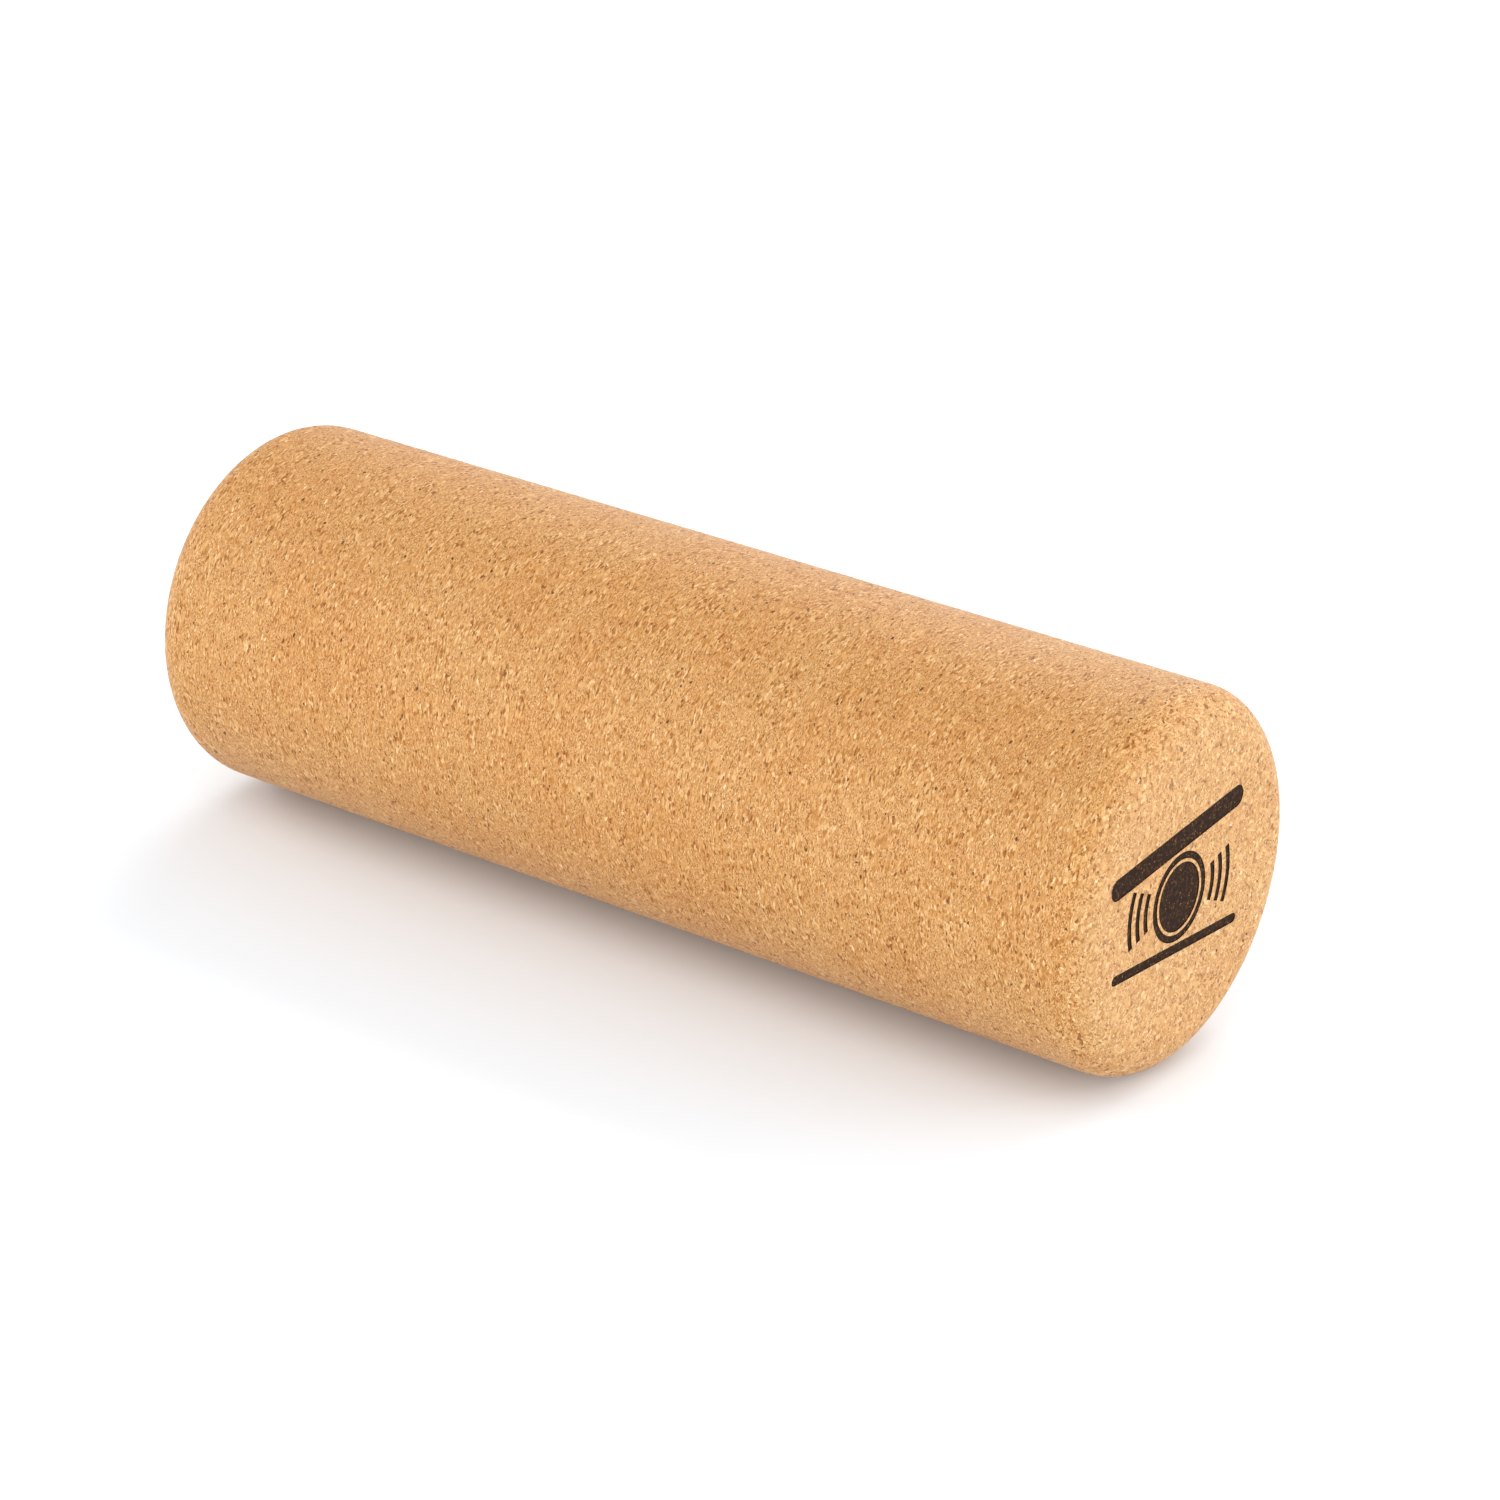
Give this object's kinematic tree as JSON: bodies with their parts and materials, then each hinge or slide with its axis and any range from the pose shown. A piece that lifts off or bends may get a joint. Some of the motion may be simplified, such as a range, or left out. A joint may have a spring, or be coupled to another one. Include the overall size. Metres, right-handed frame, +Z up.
{
  "type": "balance board roller",
  "caption": "Solid pressed-cork cylinder with rounded rims that lies on the floor and rolls under a balance board.",
  "frame": {"origin": "centre of the roller, on its axis, 75 mm above the floor it lies on", "axes": "+X along the roller's axis towards the end that carries the scorched badge, +Z up with the roller lying on its side, +Y completes the right-handed frame"},
  "size_m": [0.45, 0.15, 0.15],
  "materials": {
    "cork": "bare pressed cork, sanded and matt, without varnish"
  },
  "bodies": {
    "root": {"cork_roller": "cork"}
  },
  "joints": []
}
